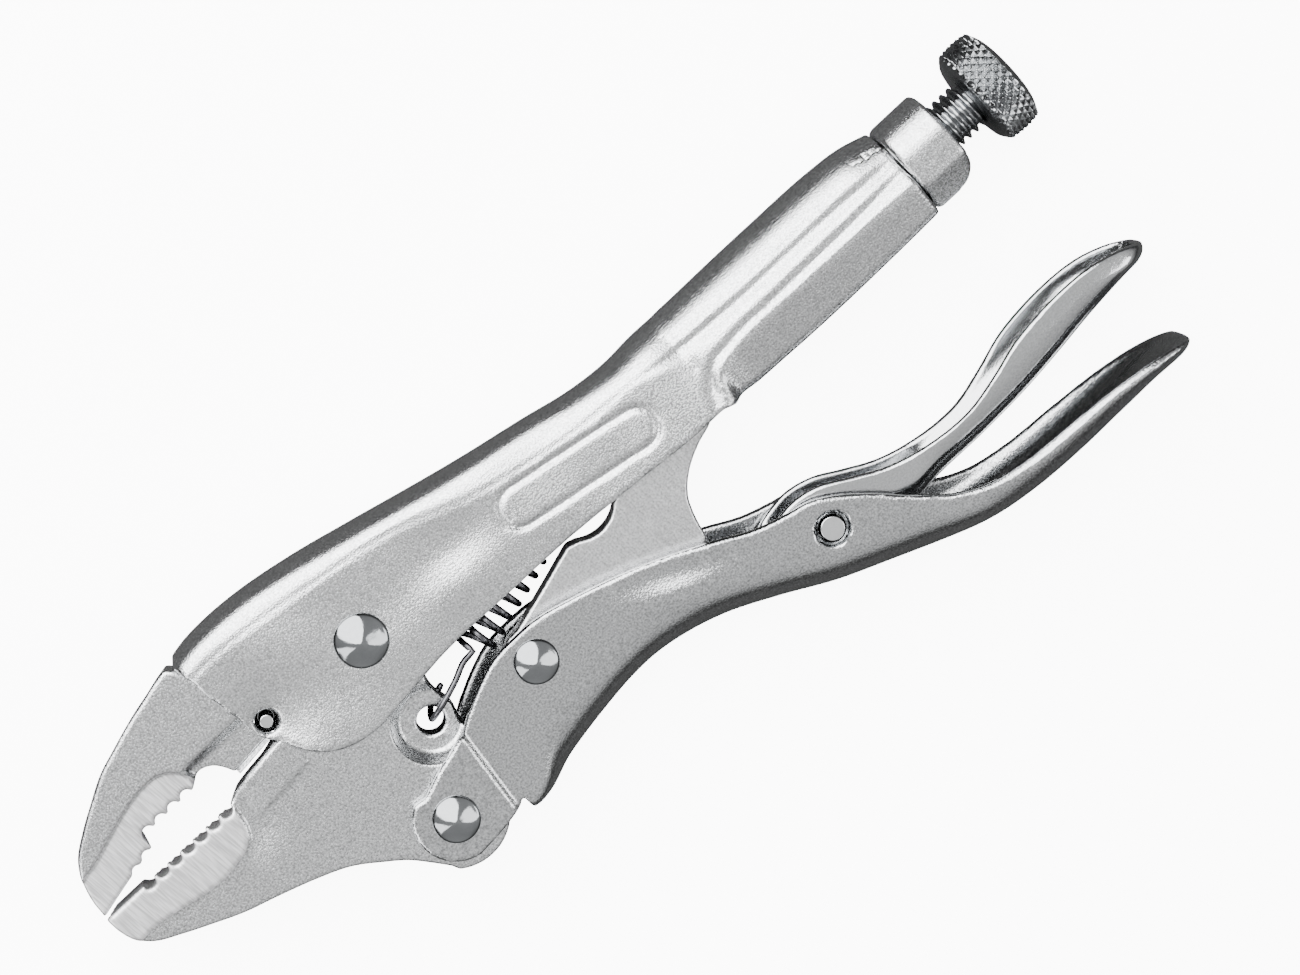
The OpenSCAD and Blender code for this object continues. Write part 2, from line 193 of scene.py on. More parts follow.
def drilled(field, x, y, holes, edge):
    """What is left after round holes, each a (centre, radius), are cut along z."""
    for centre, radius in holes:
        field = without(field, disc(x, y, centre, radius), edge)
    return field


def grid(low, high, step):
    """Sample points over a box, as x, y and z that broadcast together."""
    axes = [np.arange(a, b + s, s) for a, b, s in zip(low, high, step)]
    return axes, axes[0][:, None, None], axes[1][None, :, None], axes[2][None, None, :]


EDGES = [(0, 1, 0), (2, 3, 0), (4, 5, 0), (6, 7, 0), (0, 2, 1), (1, 3, 1), (4, 6, 1),
         (5, 7, 1), (0, 4, 2), (1, 5, 2), (2, 6, 2), (3, 7, 2)]


def skin(field, axes):
    """The field's zero surface as (vertices, quads): one vertex in each cell that it crosses."""
    step = np.array([a[1] - a[0] for a in axes])
    low = np.array([a[0] for a in axes])
    f = field.astype(np.float32)
    solid = f < 0
    corners = [solid[i:f.shape[0] - 1 + i, j:f.shape[1] - 1 + j, k:f.shape[2] - 1 + k]
               for k in (0, 1) for j in (0, 1) for i in (0, 1)]
    count = sum(c.astype(np.int8) for c in corners)
    cells = np.argwhere((count > 0) & (count < 8))
    value = [f[cells[:, 0] + i, cells[:, 1] + j, cells[:, 2] + k]
             for k in (0, 1) for j in (0, 1) for i in (0, 1)]
    total = np.zeros((len(cells), 3))
    hits = np.zeros(len(cells))
    for a, b, along in EDGES:
        hit = (value[a] < 0) != (value[b] < 0)
        gap = np.where(hit, value[a] - value[b], 1)
        at = np.tile([float(a & 1), float(a >> 1 & 1), float(a >> 2 & 1)], (len(cells), 1))
        at[:, along] += value[a] / gap
        total += at * hit[:, None]
        hits += hit
    vertices = low + (cells + total / hits[:, None]) * step
    number = -np.ones(np.array(f.shape) - 1, dtype=np.int64)
    number[tuple(cells.T)] = np.arange(len(cells))
    quads = []
    for along in range(3):
        s, t = (along + 1) % 3, (along + 2) % 3
        first = [slice(None)] * 3
        second = [slice(None)] * 3
        first[along], second[along] = slice(0, -1), slice(1, None)
        change = solid[tuple(first)] != solid[tuple(second)]
        edge = np.argwhere(change)
        edge = edge[(edge[:, s] > 0) & (edge[:, t] > 0)
                    & (edge[:, s] < f.shape[s] - 1) & (edge[:, t] < f.shape[t] - 1)]
        leaving = solid[tuple(edge.T)]
        ring = []
        for ds, dt in ((-1, -1), (0, -1), (0, 0), (-1, 0)):
            cell = edge.copy()
            cell[:, s] += ds
            cell[:, t] += dt
            ring.append(number[tuple(cell.T)])
        ring = np.stack(ring, axis=1)
        quads.append(np.where(leaving[:, None], ring, ring[:, ::-1]))
    quads = np.vstack(quads)
    return relaxed(vertices, quads), quads


def relaxed(vertices, quads, passes=2):
    """The same mesh with the steps of its grid smoothed out."""
    ends = np.vstack([quads[:, [0, 1]], quads[:, [1, 2]], quads[:, [2, 3]], quads[:, [3, 0]]])
    here, there = ends.T
    count = np.bincount(here, minlength=len(vertices))
    for _ in range(passes):
        mean = [np.bincount(here, column, len(vertices)) / count for column in vertices[there].T]
        vertices = 0.5 * vertices + 0.5 * np.stack(mean, axis=1)
    return vertices


# ---- Meshes -------------------------------------------------------------------------------------

def piece(name, vertices, faces, body, node, material):
    """A finished, smooth-shaded mesh that rides on a body and stands for a CAD node."""
    mesh = bpy.data.meshes.new(name)
    mesh.from_pydata(to_row(vertices).tolist(), [], [list(map(int, f)) for f in faces])
    mesh.validate()
    work = bmesh.new()
    work.from_mesh(mesh)
    bmesh.ops.recalc_face_normals(work, faces=work.faces)
    work.to_mesh(mesh)
    work.free()
    mesh.shade_smooth()
    mesh.set_sharp_from_angle(angle=SHARP_ANGLE)
    mesh.materials.append(material)
    obj = bpy.data.objects.new(name, mesh)
    bpy.context.scene.collection.objects.link(obj)
    if node:
        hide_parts(node)
    if body:
        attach(obj, body)
    return obj


def rounded(profile, radius, steps=4):
    """A profile with each inner corner turned into a small arc."""
    p = np.array(profile, dtype=float)
    out = [p[0]]
    for a, b, c in zip(p[:-2], p[1:-1], p[2:]):
        u, v = a - b, c - b
        reach = min(radius, 0.45 * np.linalg.norm(u), 0.45 * np.linalg.norm(v))
        start, end = b + u / np.linalg.norm(u) * reach, b + v / np.linalg.norm(v) * reach
        for t in np.linspace(0, 1, steps + 1):
            out.append((1 - t) ** 2 * start + 2 * t * (1 - t) * b + t * t * end)
    return out + [p[-1]]


def wrapped(points):
    """Faces over rows of points that each go once round, with both ends closed."""
    rows, around = points.shape[:2]
    faces = [[i * around + k, i * around + (k + 1) % around,
              (i + 1) * around + (k + 1) % around, (i + 1) * around + k]
             for i in range(rows - 1) for k in range(around)]
    faces += [list(range(around))[::-1], [(rows - 1) * around + k for k in range(around)]]
    return points.reshape(-1, 3), faces


def tube(path, radius, around=14):
    """A round wire along a path, with rounded ends."""
    p = np.array(path, dtype=float)
    heads = np.gradient(p, axis=0)
    heads /= np.linalg.norm(heads, axis=1)[:, None]
    side = np.array([0.2, 1.0, 0.3])
    rings = []
    a = np.linspace(0, 2 * np.pi, around, endpoint=False)
    for at, head in zip(p, heads):
        side = side - head * side.dot(head)
        side /= np.linalg.norm(side)
        other = np.cross(head, side)
        rings.append(at + radius * (np.cos(a)[:, None] * side + np.sin(a)[:, None] * other))
    for end, way in ((0, -1), (-1, 1)):
        caps = []
        for t in (35, 65):
            centre = p[end] + way * heads[end] * radius * math.sin(math.radians(t))
            caps.append(centre + (rings[end] - p[end]) * math.cos(math.radians(t)))
        rings = caps[::-1] + rings if end == 0 else rings + caps
    return wrapped(np.stack(rings))


# ---- Materials ----------------------------------------------------------------------------------

def steel(name, colour, roughness, grain=0.0, grain_size=0.5, speckle=0.0, polish=None):
    """Plated steel with a fine cast grain. polish is the ground look of the areas where the
    mesh's point attribute "ground" is above zero: (colour, roughness, way the brushing runs)."""
    mat = bpy.data.materials.new(name)
    mat.use_nodes = True
    nodes, links = mat.node_tree.nodes, mat.node_tree.links
    shader = nodes["Principled BSDF"]
    shader.inputs["Metallic"].default_value = 1.0
    where = nodes.new("ShaderNodeTexCoord").outputs["Object"]

    def noise(size_mm, detail=3.0, stretch=(1, 1, 1), turn=0.0):
        mapping = nodes.new("ShaderNodeMapping")
        mapping.vector_type = "TEXTURE"
        mapping.inputs["Scale"].default_value = stretch
        mapping.inputs["Rotation"].default_value = (0, 0, math.radians(turn))
        texture = nodes.new("ShaderNodeTexNoise")
        texture.inputs["Scale"].default_value = 1000 / size_mm
        texture.inputs["Detail"].default_value = detail
        links.new(where, mapping.inputs["Vector"])
        links.new(mapping.outputs["Vector"], texture.inputs["Vector"])
        return texture.outputs["Fac"]

    def spread(value, low, high, low_in=0.3, high_in=0.7):
        rescale = nodes.new("ShaderNodeMapRange")
        for socket, number in zip(rescale.inputs[1:5], (low_in, high_in, low, high)):
            socket.default_value = number
        links.new(value, rescale.inputs["Value"])
        return rescale.outputs["Result"]

    def blended(kind, factor, a, b):
        mix = nodes.new("ShaderNodeMix")
        mix.data_type = kind
        first = {"FLOAT": 2, "RGBA": 6}[kind]
        for socket, given in ((0, factor), (first, a), (first + 1, b)):
            if hasattr(given, "is_linked"):
                links.new(given, mix.inputs[socket])
            else:
                mix.inputs[socket].default_value = given
        return mix.outputs[{"FLOAT": 0, "RGBA": 2}[kind]]

    def shade(light):
        return tuple(c * light for c in colour) + (1,)

    fine, patches = noise(grain_size), noise(9, 2)
    tint = blended("RGBA", spread(fine, 0, 1), shade(1 - speckle), shade(1 + 0.4 * speckle))
    tint = blended("RGBA", spread(patches, 0, 0.12), tint, shade(0.8))
    rough = blended("FLOAT", spread(noise(1.3), 0, 1), roughness - 0.02, roughness + 0.04)
    bumps = spread(fine, -grain, grain, 0.25, 0.75)
    if polish:
        light, smoothness, way = polish
        mask = nodes.new("ShaderNodeAttribute")
        mask.attribute_name = "ground"
        ground = spread(mask.outputs["Fac"], 0, 1, -0.08, 0.12)
        brushed = noise(0.3, 2, (1, 14, 1), way)
        bright = blended("RGBA", spread(brushed, 0, 1, 0.36, 0.64), light + (1,),
                         tuple(0.62 * c for c in light) + (1,))
        tint = blended("RGBA", ground, tint, bright)
        rough = blended("FLOAT", ground, rough, smoothness)
        bumps = blended("FLOAT", ground, bumps, spread(brushed, -0.25 * grain, 0.25 * grain))
    links.new(tint, shader.inputs["Base Color"])
    links.new(rough, shader.inputs["Roughness"])
    if grain:
        bump = nodes.new("ShaderNodeBump")
        bump.inputs["Strength"].default_value = 1.0
        bump.inputs["Distance"].default_value = MM
        links.new(bumps, bump.inputs["Height"])
        links.new(bump.outputs["Normal"], shader.inputs["Normal"])
    return mat


PLATED = steel("plated_upper", (0.83, 0.84, 0.85), 0.20,
               grain=0.015, grain_size=0.30, speckle=0.56)
SATIN = steel("plated_lower", (0.65, 0.66, 0.67), 0.14,
              grain=0.012, grain_size=0.32, speckle=0.56)
LEVER = steel("plated_lever", (0.62, 0.63, 0.64), 0.13,
              grain=0.004, grain_size=0.30, speckle=0.16)
FORGED = steel("forged_jaw", (0.80, 0.81, 0.82), 0.20,
               grain=0.013, grain_size=0.32, speckle=0.62, polish=((0.92, 0.92, 0.93), 0.44, 4))
POLISHED = steel("polished_pin", (0.86, 0.87, 0.88), 0.09,
                 grain=0.002, grain_size=0.6, speckle=0.05)
RIVET = steel("polished_rivet", (0.28, 0.29, 0.30), 0.09,
              grain=0.002, grain_size=0.6, speckle=0.05)
SCREW = steel("screw_steel", (0.34, 0.35, 0.36), 0.16,
              grain=0.006, grain_size=0.4, speckle=0.2)
WIRE = steel("spring_steel", (0.13, 0.13, 0.14), 0.25,
             grain=0.006, grain_size=0.4, speckle=0.2)


# ---- Folded sheet -------------------------------------------------------------------------------

def across(line, x, y):
    """Distance above a smooth line y(x), measured square to it."""
    h = line(x)
    slope = (line(x + 0.5) - line(x - 0.5))
    return (y - h) / np.hypot(1, slope)


def valley(across_it, depth, width):
    """A soft groove along the line where across_it is 0."""
    return depth * np.exp(-(across_it / width) ** 2)


def slanted(side, back, angle, width):
    """Side walls that lean in by an angle, in degrees, towards the back where back is 0."""
    lean = math.radians(angle)
    return eased(side, side * math.cos(lean) + back * math.sin(lean), width)


def sheet(back, side, wall, corner):
    """A sheet folded round its back, from the distances past its back and past its side walls,
    which are negative on the inside."""
    outer = both(side, back, corner)
    inner = both(side + wall, back + wall, np.maximum(corner - wall, 0.5))
    return np.maximum(outer, -inner)


SHEARED = 0.3           # the round on a sheared edge
UPPER_WALL = 2.2
LOWER_WALL = 1.9
LEVER_WALL = 1.5
THINNEST = 0.8          # what a pressed-in place leaves of a wall
UPPER_HALF = 6.8        # half widths along z, to the outsides of the walls
GRIP_HALF = 7.6
EAR_HALF = 6.5
LOWER_HALF = 7.3
TAIL_HALF = 9.0
LEVER_HALF = 4.8
BOTTOM_START = 62.4     # where the grip closes below, behind the toggle link
SLOT_HALF = 1.6         # the gap along the grip's bottom, between the sheet's two edges
SLOT_END = 100.0

# The plain groove pressed round a flat panel
GROOVE_CENTRE = (41.0, -3.2)
GROOVE_WAY = (0.985, -0.17)
GROOVE_HALF = 10.5
GROOVE_R = 3.1
GROOVE_DEPTH = 0.42

# The line of the crown, and the bend where the crown turns into the side walls
CROWN = height([(-26, 15.5), (-20, 16.75), (-15, 17), (-10, 16.75), (0, 15.2), (10, 12.9),
                (20, 10.5), (30, 8.3), (40, 6.5), (48, 4.9), (54, 4.4), (61, 4.9), (70, 5.05),
                (84, 5.1), (97, 4.85), (102, 4.35), (107.5, 2.9)])
CROWN_BEND = height([(-26, 12.3), (-20, 13.3), (-12, 13), (0, 11.4), (15, 8.7), (26, 4.8),
                     (36, 2.4), (48, 0.8), (56, 0.6), (62, -0.5), (70, -1.1), (90, -1.3),
                     (108, -1.8)])

# The long crease along the grip, its bottom, and the ridge above its lower facet
SIDE_CREASE = height([(-26, -40), (58, -22), (63, -9), (66, -5.8), (70, -4.9), (80, -4.6),
                      (92, -4.4), (108, -3.8)])
GRIP_BOTTOM = height([(-30, -34), (52, -30), (58, -22), (62, -14.5), (65, -12.6), (70, -12.8),
                      (80, -13.1), (95, -13), (107.5, -12.6)])
GRIP_FACET = height([(-30, -40), (60, -24), (63.6, -12.5), (65, -8.4), (68, -6.3), (72, -5.6),
                     (85, -5.6), (108, -6.3)])


def upper_outline():
    """Where the upper handle's sheet is cut off, seen along z."""
    return outline(
        curve([(-22.9, 14.6), (-22.5, 13), (-22, 8), (-21.4, 4), (-20.9, -0.5), (-19.6, -2.6)]),
        curve([(-19.2, -3), (-17.6, -6.3), (-15, -9.1), (-12, -10.7), (-8, -11.5), (-3, -11.25),
               (2, -10.6), (7, -10.05), (20, -9.95), (34, -10.15), (46, -10.95), (57, -11.65),
               (63, -11.7)]),
        [(66, -13.2), (70, -16), (112, -16), (106.7, -16), (106.7, 24), (-25, 24)])


def upper_handle():
    """The folded handle: its walls lean in towards the rolled crown, and the grip closes below."""
    axes, x, y, z = grid((-23.6, -14, -8.2), (107.4, 18, 8.2), (0.52, 0.32, 0.32))
    half = UPPER_HALF + (GRIP_HALF - UPPER_HALF) * ramp(x, 44, 66)
    corner = 2.3 + 2.5 * ramp(x, 40, 66)
    crown = across(CROWN, x, y)
    over = across(CROWN_BEND, x, y)
    lean = np.radians(3.5 * ramp(x, 28, 44) + 10.5 * ramp(x, 58, 70))
    bend = np.radians(13 - 7 * ramp(x, 60, 70))
    tuck = math.radians(21)

    # Presses and marks in the walls
    wavy = 0.1 * np.sin(x / 3.4 + 0.8) * np.sin(y / 2.6 + x / 9) * ramp(-x, -60, -40)
    dish = 1.4 * np.exp(-(np.hypot(x - JAW_PIN[0] - 0.4, y - JAW_PIN[1] + 0.4) / 6) ** 2)
    dent = 0.18 * (y + 1.3) * np.exp(-((x - 18) / 10) ** 2 - ((y + 1.3) / 5) ** 2)
    rear = 0.9 * ramp(x, 99, 107.4) * ramp(y, -7, 2)
    grip = ramp(x, 54, 68)
    streaks = valley(over, 0.16 + 0.38 * grip, 0.35 + 0.55 * grip)
    streaks = streaks + grip * valley(across(SIDE_CREASE, x, y), 0.46, 0.8)
    faint = valley(over - 1.9 - 0.3 * np.sin(x / 5), 0.16, 0.45)
    streaks = streaks + grip * ramp(-x, -100, -88) * faint
    wide = np.abs(z) - half + wavy + dish + dent + rear + streaks

    # The wall is upright up to the ridge, leans above it, bends in at the crown and tucks under
    ridge = y - np.maximum(GRIP_FACET(x), -11.6)
    side = np.where(ridge > 0, wide * np.cos(lean) + ridge * np.sin(lean), wide)
    side = np.maximum(side, side * np.cos(bend) + over * np.sin(bend))
    under = -across(GRIP_FACET, x, y)
    side = both(side, wide * math.cos(tuck) + under * math.sin(tuck), 0.3)

    # The sheet's outside less its inside
    bottom = -across(GRIP_BOTTOM, x, y)
    outer = both(both(side, crown, corner), bottom, 1.2)
    hollow = np.maximum(np.abs(z) - half + UPPER_WALL, side + THINNEST)
    open_end = np.minimum(bottom + UPPER_WALL, x - BOTTOM_START)
    inner = both(both(hollow, crown + UPPER_WALL, 1.5), open_end, 1.0)
    field = np.maximum(outer, -inner)
    slot = np.maximum(np.maximum(np.abs(z) - SLOT_HALF, y + 8), x - SLOT_END)
    field = without(field, slot, 0.3)
    field = both(field, inside_outline(upper_outline(), x, y), SHEARED)

    # The dimple at the jaw's pin, the plain groove, the holes and the spring's tongue
    dimple = np.sqrt((x - JAW_PIN[0]) ** 2 + (y - JAW_PIN[1]) ** 2 + (np.abs(z) - 10.2) ** 2) - 5.0
    field = without(field, dimple, 0.3)
    dx, dy = x - GROOVE_CENTRE[0], y - GROOVE_CENTRE[1]
    beyond = np.maximum(np.abs(dx * GROOVE_WAY[0] + dy * GROOVE_WAY[1]) - GROOVE_HALF, 0)
    bar = np.hypot(beyond, dy * GROOVE_WAY[0] - dx * GROOVE_WAY[1])
    groove = np.hypot(bar - GROOVE_R, side) - GROOVE_DEPTH
    field = without(field, groove, 0.2)
    holes = [(JAW_PIVOT, JAW_SHANK + PLAY), (JAW_PIN, JAW_PIN_R + PLAY)]
    field = drilled(field, x, y, holes, 0.15)
    tongue = np.maximum(np.maximum(np.abs(x - SPRING_TAB[0]) - 2.5, np.abs(z) - 0.8),
                        np.maximum(-7.2 - y, y - CROWN(x) + 1.5))
    tongue = without(tongue, disc(x, y, SPRING_TAB, 1.0), 0.1)
    field = np.minimum(field, tongue)
    return skin(field, axes)


# The line of the lower handle's back
LOWER_BACK = height([(0, -36.2), (2, -36.9), (5, -36.9), (10, -35.8), (15, -34.8), (20, -34),
                     (25, -33.4), (30, -33.3), (36, -34.2), (42, -36), (50, -39.8), (58, -44.1),
                     (66, -47.5), (74, -50.6), (82, -53), (90, -54.2), (99, -54.6), (108, -54.4),
                     (116, -54.05), (124, -54.7)])

# The tips of the handles seen along y, as (x, z) on one side of the middle plane
TAIL_TIP = outline([(-60, -6), (-60, 12), (96, 12)],
                   curve([(104, 9.1), (111, 8.9), (117, 8.3), (121, 7), (122.9, 5),
                          (123.35, 2.4), (123.4, 0)]),
                   [(123.35, -6)])
LEVER_TIP = outline([(-60, -6), (-60, 9), (98, 9)],
                    curve([(108, 6.25), (114, 6.1), (120.5, 5.6), (124.6, 4.6), (126.5, 3),
                           (127, 1.4), (127.1, 0)]),
                    [(127, -6)])


def lower_outline():
    """Where the lower handle's channel is cut off, seen along z."""
    return outline(
        [(1.3, -40), (1.3, -20.8)],
        curve([(1.3, -20.8), (5, -18.6), (9, -16.8), (12, -15.8), (16, -15.45), (21, -15.6),
               (27, -17), (34, -19.2), (42, -22.4), (49, -25.8), (54, -28.4), (59, -30),
               (63, -31), (66, -32.7), (70, -36), (75, -41), (80, -45.2), (85, -47.6),
               (91, -48.8), (100, -49.4), (110, -50.2), (117, -51.3), (122.6, -52.7)]),
        [(123.4, -53.6), (123.2, -60)])


def ear_outline():
    """The two flat ears round the handle's pivot."""
    return outline(
        [(4, -31), (4, -19)],
        curve([(1.3, -20.7), (-2, -21.8), (-6, -22.9), (-9.5, -24.3)]),
        arc(HANDLE_PIVOT, 6.7, 118, 262),
        curve([(-6, -36.2), (-3, -35.8), (-0.5, -35.2), (1.4, -34)]))


def lower_handle():
    """The folded handle: two ears in front, a joggle behind them, and a tail that flares."""
    axes, x, y, z = grid((-15.6, -55.6, -9.3), (124, -14.6, 9.3), (0.45, 0.32, 0.3))
    joggle = x - 0.35 - (y + 28) * 0.12
    flare = ramp(x, 72, 98)
    half = EAR_HALF + (LOWER_HALF - EAR_HALF) * ramp(joggle, -0.8, 0.7)
    half = half + (TAIL_HALF - LOWER_HALF) * ramp(x, 62, 92) - 0.6 * flare
    corner = 1.5 + 3.0 * ramp(x, 1, 11) + 0.9 * ramp(x, 70, 90) - 2.0 * ramp(x, 104, 122)
    back = -across(LOWER_BACK, x, y)
    side = np.abs(z) - half + 0.15 * np.minimum(back, 0) * flare
    press = y + 26 + 0.5 * (x - 40)
    side = side + 0.21 * press * np.exp(-((x - 40) / 8) ** 2 - (press / 3.6) ** 2)
    low = 7.6 * ramp(x, 0, 12) - 3 - 7 * ramp(x, 70, 88)
    side = slanted(side, back + low, 23, 1.4)
    side = both(side, inside_outline(TAIL_TIP, x, np.abs(z)), 0.3)
    channel = sheet(back, side, LOWER_WALL, corner)
    cut = inside_outline(lower_outline(), x, y)
    channel = both(channel, cut, SHEARED)
    channel = both(channel, 0.62 * cut + 0.79 * (side + 1.1 * flare), 0.2)
    middle = half - LOWER_WALL / 2
    ear = np.abs(np.abs(z) - middle) - LOWER_WALL / 2
    ears = both(ear, inside_outline(ear_outline(), x, y), SHEARED)
    field = np.minimum(channel, ears)
    ring = np.maximum(disc(x, y, LEVER_PIVOT, 2.75), LOWER_HALF - 1.3 - np.abs(z))
    field = without(field, ring, 0.15)
    holes = [(HANDLE_PIVOT, HANDLE_SHANK), (LINK_PIVOT, LINK_SHANK), (LEVER_PIVOT, LEVER_SHANK)]
    return skin(drilled(field, x, y, holes, 0.1), axes)


# The line of the lever's back
LEVER_BACK = height([(52, -32), (58, -38.4), (65, -42), (73, -43.3), (82, -43.3), (90, -43),
                     (98, -42.5), (106, -41.6), (114, -40.5), (121, -39.6), (128, -39.1)])


def lever_outline():
    """Where the lever's sheet is cut off, seen along z."""
    return outline(
        [(53, -46), (53, -31.4)],
        curve([(53, -31.4), (57, -30.3), (61, -29.8), (66, -30.9), (70, -33.1), (75, -35.7),
               (82, -37.6), (90, -38), (96, -36.6), (102, -34.8), (108, -34), (114, -33.85),
               (119, -34.4), (123, -35.6), (126.4, -37.2)]),
        [(127.1, -37.8), (127.1, -46)])


def release_lever():
    """The folded lever inside the lower handle, with slanted sides towards its back."""
    axes, x, y, z = grid((52.4, -44.2, -6.8), (127.8, -28, 6.8), (0.4, 0.26, 0.26))
    back = -across(LEVER_BACK, x, y)
    half = LEVER_HALF + 1.4 * ramp(x, 74, 106)
    side = np.abs(z) - half
    low = 6.9 * ramp(x, 68, 84) - 3 - 1.8 * ramp(x, 112, 126)
    side = slanted(side, back + low, 31, 1.2)
    side = both(side, inside_outline(LEVER_TIP, x, np.abs(z)), 0.3)
    corner = 4.2 - 1.6 * ramp(x, 74, 90) - 0.4 * ramp(x, 110, 126)
    field = sheet(back, side, LEVER_WALL, corner)
    field = both(field, inside_outline(lever_outline(), x, y), 0.35)
    return skin(drilled(field, x, y, [(LEVER_PIVOT, LEVER_SHANK + PLAY)], 0.1), axes)


# ---- Forged parts -------------------------------------------------------------------------------

JAW_HALF = 4.5
TOOTH = 0.95
TOOTH_STEP = 2.6
WEB_HALF = 2.0
WEB_R = 6.3
CUTTER_HALF = 1.1
FORGED_EDGE = 0.45

# The flats that are ground along the teeth
FIXED_GROUND = outline(
    curve([(-57, -6), (-56.2, 0), (-55.3, 1.4), (-52, 2.3), (-48, 3.6), (-44, 4.9), (-40, 5.75),
           (-36.6, 5.8), (-34.6, 5), (-33.4, 3.6), (-32.6, 1.8)]),
    [(-32, -8), (-57, -8)])
LOWER_GROUND = outline(
    curve([(-57, -11.2), (-55.3, -11.1), (-52, -10.9), (-48, -11.5), (-44, -12.3), (-40, -12.7),
           (-37, -12.4), (-34.2, -11.7), (-32.6, -10.4), (-31.8, -8.4), (-31.3, -5.2)]),
    [(-31.3, -2), (-57, -2)])

# The fixed jaw's cutting edge, which all but meets the lower jaw's in the middle plane
CUTTER = outline([(-27.4, -1), (-27.5, -3.35), (-20.5, -2.55), (-20, -1)])


def fixed_jaw_outline():
    """The upper jaw seen along z, before its teeth are cut."""
    return outline(
        curve([(-56.6, -4.6), (-56.3, -1.8), (-55.4, 1.2), (-53.4, 4.4), (-50, 7), (-46, 9.4),
               (-42, 11.6), (-38, 13), (-34, 14.3), (-30, 15.3), (-26, 16.3), (-24.4, 16.5),
               (-23.3, 15.6)]),
        [(-22, 12.4), (-10, 12.4)],
        arc(JAW_PIVOT, 9.6, 110, 190),
        curve([(-20.5, -1.9), (-27.5, -2.5)], 2),
        curve([(-27.8, -2.3), (-28.5, -0.8), (-29.6, 0.6), (-31.4, 1.3), (-33, 0.6),
               (-33.9, 0.15)], 4),
        [(-43.7, 0.1), (-44.1, -2), (-50, -3.3), (-54.5, -4.4), (-56.5, -4.9)])


def fixed_jaw():
    """The toothed upper jaw, with its ground flat, the cutter and the bevel beside it."""
    axes, x, y, z = grid((-57.2, -9.8, -5), (-4, 17.2, 5), (0.25, 0.25, 0.25))
    flat = inside_outline(fixed_jaw_outline(), x, y)
    notches = [(-48.1, -3.3), (-45.5, -2.6)]
    notches += [(-42.9 + TOOTH_STEP * i, 0.05 * i) for i in range(4)]
    flat = drilled(flat, x, y, [(at, TOOTH) for at in notches], 0.12)
    flat = drilled(flat, x, y, [(JAW_PIN, JAW_PIN_R - PLAY)], 0.1)
    zone = inside_outline(FIXED_GROUND, x, y)
    beside = ramp(x, -33.4, -32.0)
    bevel = beside * 1.7 * ramp(-y, -4.1, -2.2)
    thickness = JAW_HALF - 0.5 * ramp(-zone, 0, 0.3) - np.where(x < -19, bevel, 0)
    field = both(flat + 0.1 * (JAW_HALF - z), (np.abs(z) - thickness) * 0.8, FORGED_EDGE)
    blade = np.maximum(inside_outline(CUTTER, x, y), np.abs(z) - CUTTER_HALF)
    field = np.minimum(field, blade)
    return skin(field, axes) + (lambda p: -inside_outline(FIXED_GROUND, p[:, 0], p[:, 1]),)


def lower_jaw_outline():
    """The lower jaw seen along z, before its teeth are cut."""
    return outline(
        curve([(-56.6, -5.1), (-56.4, -8), (-55.7, -10.3), (-54, -12.4), (-50, -14.7), (-46, -16.6),
               (-41, -18.8), (-36, -20.4), (-30, -22.5), (-25, -24.7), (-21, -27.6), (-18, -30.1),
               (-15.8, -32.8), (-14, -35.2)]),
        arc(HANDLE_PIVOT, 8.4, 232, 322),
        curve([(0.4, -30), (1.6, -24), (2.3, -19.6), (2.9, -17.4), (2.4, -13.2), (3, -10.8),
               (5.4, -7.5)], 4),
        arc(JAW_PIVOT, 9.3, -50, 196),
        [(-20, -2.8), (-27.5, -3.7), (-29.8, -4.1), (-31.3, -5.0), (-40, -5.1)])


def lower_jaw():
    """The toothed lower jaw, with its ground flat, a raised shelf and the thin round web."""
    axes, x, y, z = grid((-57.2, -39, -5), (10, 10, 5), (0.27, 0.27, 0.27))
    flat = inside_outline(lower_jaw_outline(), x, y)
    notches = [(-48 + TOOTH_STEP * i, -5.25) for i in range(7)]
    flat = drilled(flat, x, y, [(at, TOOTH) for at in notches], 0.12)
    holes = [(JAW_PIVOT, JAW_SHANK + PLAY), (HANDLE_PIVOT, HANDLE_SHANK + PLAY), (SPRING_HOLE, 2.1)]
    flat = drilled(flat, x, y, holes, 0.1)
    zone = inside_outline(LOWER_GROUND, x, y)
    shelf = 0.3 * ramp(x, -31, -26) * ramp(-x, 17.6, 19) * ramp(y - 0.1 * x, -6.7, -6.3)
    throat = 0.4 * ramp(zone, 0, 0.7) * ramp(-zone, -8, -1.0) * ramp(y, -19, -9)
    throat = throat * ramp(x, -36, -33)
    rim = np.clip((WEB_R - np.hypot(x - SPRING_HOLE[0], y - SPRING_HOLE[1])) / 1.9, 0, 1)
    thickness = JAW_HALF + shelf + np.where(zone < 0, 0.2 * ramp(-zone, 0, 0.2), -throat)
    thickness = thickness - (JAW_HALF - WEB_HALF) * (1 - (1 - rim) ** 2)
    draft = 0.1 * ramp(-x, 18, 24) * (JAW_HALF - z)
    field = both(flat + draft, (np.abs(z) - thickness) * 0.8, FORGED_EDGE)
    return skin(field, axes) + (lambda p: -inside_outline(LOWER_GROUND, p[:, 0], p[:, 1]),)


LINK_END = (63.0, SCREW_Y)
LINK_HALF = 4.2


